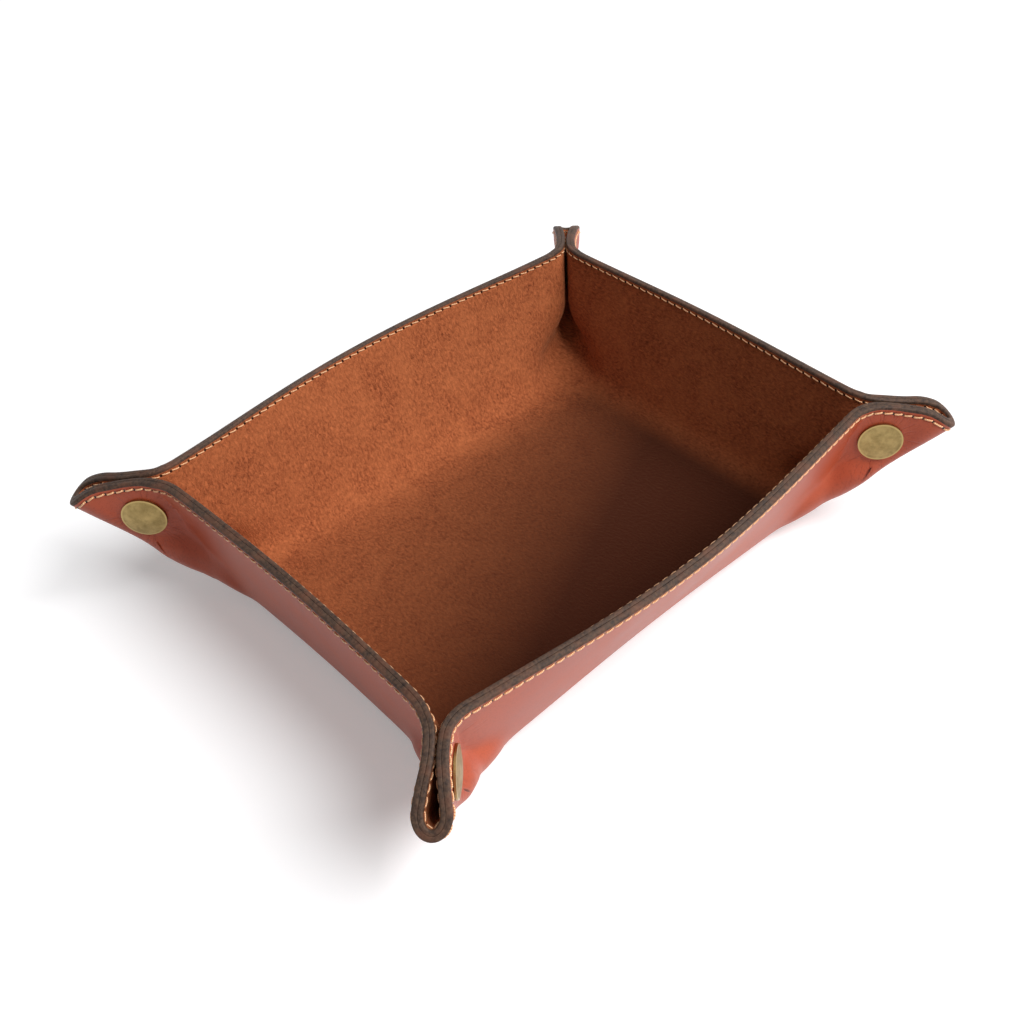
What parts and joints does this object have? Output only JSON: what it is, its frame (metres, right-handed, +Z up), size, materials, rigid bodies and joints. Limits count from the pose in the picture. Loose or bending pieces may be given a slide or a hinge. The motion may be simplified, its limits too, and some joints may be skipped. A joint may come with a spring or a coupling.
{
  "type": "valet tray",
  "caption": "Soft leather tray lined with suede: a flat sheet whose pinched corners snap into ears and stand its walls up, and which opens out nearly flat.",
  "frame": {"origin": "middle of the underside of the base, on the surface it rests on", "axes": "+X along the long side, +Y towards the back long wall, +Z up"},
  "size_m": [0.234, 0.19, 0.0504],
  "materials": {
    "leather": "smooth, semi-gloss, red-brown",
    "suede": "short nap, matte, rust brown",
    "brass": "aged brass, satin"
  },
  "bodies": {
    "base": {"base_leather": "leather", "base_lining": "suede"},
    "wall_front": {"wall_front_leather": "leather", "wall_front_lining": "suede"},
    "wall_back": {"wall_back_leather": "leather", "wall_back_lining": "suede"},
    "wall_left": {"wall_left_leather": "leather", "wall_left_lining": "suede"},
    "wall_right": {"wall_right_leather": "leather", "wall_right_lining": "suede"},
    "flap_front_left_long": {"ear_front_left_long_leather": "leather", "ear_front_left_long_lining": "suede", "snap_front_left_cap": "brass", "snap_front_left_socket": "brass"},
    "tip_front_left_long": {"tip_front_left_long_leather": "leather", "tip_front_left_long_lining": "suede"},
    "flap_front_left_short": {"ear_front_left_short_leather": "leather", "ear_front_left_short_lining": "suede", "snap_front_left_stud": "brass", "snap_front_left_eyelet": "brass"},
    "tip_front_left_short": {"tip_front_left_short_leather": "leather", "tip_front_left_short_lining": "suede"},
    "flap_front_right_long": {"ear_front_right_long_leather": "leather", "ear_front_right_long_lining": "suede", "snap_front_right_cap": "brass", "snap_front_right_socket": "brass"},
    "tip_front_right_long": {"tip_front_right_long_leather": "leather", "tip_front_right_long_lining": "suede"},
    "flap_front_right_short": {"ear_front_right_short_leather": "leather", "ear_front_right_short_lining": "suede", "snap_front_right_stud": "brass", "snap_front_right_eyelet": "brass"},
    "tip_front_right_short": {"tip_front_right_short_leather": "leather", "tip_front_right_short_lining": "suede"},
    "flap_back_left_long": {"ear_back_left_long_leather": "leather", "ear_back_left_long_lining": "suede", "snap_back_left_stud": "brass", "snap_back_left_eyelet": "brass"},
    "tip_back_left_long": {"tip_back_left_long_leather": "leather", "tip_back_left_long_lining": "suede"},
    "flap_back_left_short": {"ear_back_left_short_leather": "leather", "ear_back_left_short_lining": "suede", "snap_back_left_cap": "brass", "snap_back_left_socket": "brass"},
    "tip_back_left_short": {"tip_back_left_short_leather": "leather", "tip_back_left_short_lining": "suede"},
    "flap_back_right_long": {"ear_back_right_long_leather": "leather", "ear_back_right_long_lining": "suede", "snap_back_right_stud": "brass", "snap_back_right_eyelet": "brass"},
    "tip_back_right_long": {"tip_back_right_long_leather": "leather", "tip_back_right_long_lining": "suede"},
    "flap_back_right_short": {"ear_back_right_short_leather": "leather", "ear_back_right_short_lining": "suede", "snap_back_right_cap": "brass", "snap_back_right_socket": "brass"},
    "tip_back_right_short": {"tip_back_right_short_leather": "leather", "tip_back_right_short_lining": "suede"}
  },
  "joints": [
    {"name": "wall_front_fold", "type": "hinge", "parent": "base", "child": "wall_front", "pos_m": [0, -0.0585, 0.0033], "axis": [1, 0, 0], "range_deg": [0, 50]},
    {"name": "wall_back_fold", "type": "hinge", "parent": "base", "child": "wall_back", "pos_m": [0, 0.0585, 0.0033], "axis": [-1, 0, 0], "range_deg": [0, 50]},
    {"name": "wall_left_fold", "type": "hinge", "parent": "base", "child": "wall_left", "pos_m": [-0.0805, 0, 0.0033], "axis": [0, -1, 0], "range_deg": [0, 50]},
    {"name": "wall_right_fold", "type": "hinge", "parent": "base", "child": "wall_right", "pos_m": [0.0805, 0, 0.0033], "axis": [0, 1, 0], "range_deg": [0, 50]},
    {"name": "flap_front_left_long_fold", "type": "hinge", "parent": "wall_front", "child": "flap_front_left_long", "pos_m": [-0.0805, -0.0585, 0.0033], "axis": [0.2549, 0.2832, -0.9246], "range_deg": [0, 43.8]},
    {"name": "tip_front_left_long_fold", "type": "hinge", "parent": "flap_front_left_long", "child": "tip_front_left_long", "pos_m": [-0.0805, -0.0585, 0.0033], "axis": [-0.4955, -0.5613, 0.6629], "range_deg": [0, 70], "deforming": ["tip_front_left_long_leather", "tip_front_left_long_lining"]},
    {"name": "flap_front_left_short_fold", "type": "hinge", "parent": "wall_left", "child": "flap_front_left_short", "pos_m": [-0.0805, -0.0585, 0.0033], "axis": [-0.2832, -0.2549, 0.9246], "range_deg": [0, 43.8]},
    {"name": "tip_front_left_short_fold", "type": "hinge", "parent": "flap_front_left_short", "child": "tip_front_left_short", "pos_m": [-0.0805, -0.0585, 0.0033], "axis": [0.5613, 0.4955, -0.6629], "range_deg": [0, 70], "deforming": ["tip_front_left_short_leather", "tip_front_left_short_lining"]},
    {"name": "flap_front_right_long_fold", "type": "hinge", "parent": "wall_front", "child": "flap_front_right_long", "pos_m": [0.0805, -0.0585, 0.0033], "axis": [0.2549, -0.2832, 0.9246], "range_deg": [0, 43.8]},
    {"name": "tip_front_right_long_fold", "type": "hinge", "parent": "flap_front_right_long", "child": "tip_front_right_long", "pos_m": [0.0805, -0.0585, 0.0033], "axis": [-0.4955, 0.5613, -0.6629], "range_deg": [0, 70], "deforming": ["tip_front_right_long_leather", "tip_front_right_long_lining"]},
    {"name": "flap_front_right_short_fold", "type": "hinge", "parent": "wall_right", "child": "flap_front_right_short", "pos_m": [0.0805, -0.0585, 0.0033], "axis": [-0.2832, 0.2549, -0.9246], "range_deg": [0, 43.8]},
    {"name": "tip_front_right_short_fold", "type": "hinge", "parent": "flap_front_right_short", "child": "tip_front_right_short", "pos_m": [0.0805, -0.0585, 0.0033], "axis": [0.5613, -0.4955, 0.6629], "range_deg": [0, 70], "deforming": ["tip_front_right_short_leather", "tip_front_right_short_lining"]},
    {"name": "flap_back_left_long_fold", "type": "hinge", "parent": "wall_back", "child": "flap_back_left_long", "pos_m": [-0.0805, 0.0585, 0.0033], "axis": [-0.2549, 0.2832, 0.9246], "range_deg": [0, 43.8]},
    {"name": "tip_back_left_long_fold", "type": "hinge", "parent": "flap_back_left_long", "child": "tip_back_left_long", "pos_m": [-0.0805, 0.0585, 0.0033], "axis": [0.4955, -0.5613, -0.6629], "range_deg": [0, 70], "deforming": ["tip_back_left_long_leather", "tip_back_left_long_lining"]},
    {"name": "flap_back_left_short_fold", "type": "hinge", "parent": "wall_left", "child": "flap_back_left_short", "pos_m": [-0.0805, 0.0585, 0.0033], "axis": [0.2832, -0.2549, -0.9246], "range_deg": [0, 43.8]},
    {"name": "tip_back_left_short_fold", "type": "hinge", "parent": "flap_back_left_short", "child": "tip_back_left_short", "pos_m": [-0.0805, 0.0585, 0.0033], "axis": [-0.5613, 0.4955, 0.6629], "range_deg": [0, 70], "deforming": ["tip_back_left_short_leather", "tip_back_left_short_lining"]},
    {"name": "flap_back_right_long_fold", "type": "hinge", "parent": "wall_back", "child": "flap_back_right_long", "pos_m": [0.0805, 0.0585, 0.0033], "axis": [-0.2549, -0.2832, -0.9246], "range_deg": [0, 43.8]},
    {"name": "tip_back_right_long_fold", "type": "hinge", "parent": "flap_back_right_long", "child": "tip_back_right_long", "pos_m": [0.0805, 0.0585, 0.0033], "axis": [0.4955, 0.5613, 0.6629], "range_deg": [0, 70], "deforming": ["tip_back_right_long_leather", "tip_back_right_long_lining"]},
    {"name": "flap_back_right_short_fold", "type": "hinge", "parent": "wall_right", "child": "flap_back_right_short", "pos_m": [0.0805, 0.0585, 0.0033], "axis": [0.2832, 0.2549, 0.9246], "range_deg": [0, 43.8]},
    {"name": "tip_back_right_short_fold", "type": "hinge", "parent": "flap_back_right_short", "child": "tip_back_right_short", "pos_m": [0.0805, 0.0585, 0.0033], "axis": [-0.5613, -0.4955, -0.6629], "range_deg": [0, 70], "deforming": ["tip_back_right_short_leather", "tip_back_right_short_lining"]}
  ],
  "couplings": [
    {"joint": "wall_back_fold", "follows": "wall_front_fold", "ratio": 1},
    {"joint": "wall_left_fold", "follows": "wall_front_fold", "ratio": 1},
    {"joint": "wall_right_fold", "follows": "wall_front_fold", "ratio": 1},
    {"joint": "flap_front_left_long_fold", "follows": "wall_front_fold", "ratio": 0.876},
    {"joint": "tip_front_left_long_fold", "follows": "wall_front_fold", "ratio": 1.4},
    {"joint": "flap_front_left_short_fold", "follows": "wall_front_fold", "ratio": 0.876},
    {"joint": "tip_front_left_short_fold", "follows": "wall_front_fold", "ratio": 1.4},
    {"joint": "flap_front_right_long_fold", "follows": "wall_front_fold", "ratio": 0.876},
    {"joint": "tip_front_right_long_fold", "follows": "wall_front_fold", "ratio": 1.4},
    {"joint": "flap_front_right_short_fold", "follows": "wall_front_fold", "ratio": 0.876},
    {"joint": "tip_front_right_short_fold", "follows": "wall_front_fold", "ratio": 1.4},
    {"joint": "flap_back_left_long_fold", "follows": "wall_front_fold", "ratio": 0.876},
    {"joint": "tip_back_left_long_fold", "follows": "wall_front_fold", "ratio": 1.4},
    {"joint": "flap_back_left_short_fold", "follows": "wall_front_fold", "ratio": 0.876},
    {"joint": "tip_back_left_short_fold", "follows": "wall_front_fold", "ratio": 1.4},
    {"joint": "flap_back_right_long_fold", "follows": "wall_front_fold", "ratio": 0.876},
    {"joint": "tip_back_right_long_fold", "follows": "wall_front_fold", "ratio": 1.4},
    {"joint": "flap_back_right_short_fold", "follows": "wall_front_fold", "ratio": 0.876},
    {"joint": "tip_back_right_short_fold", "follows": "wall_front_fold", "ratio": 1.4}
  ]
}
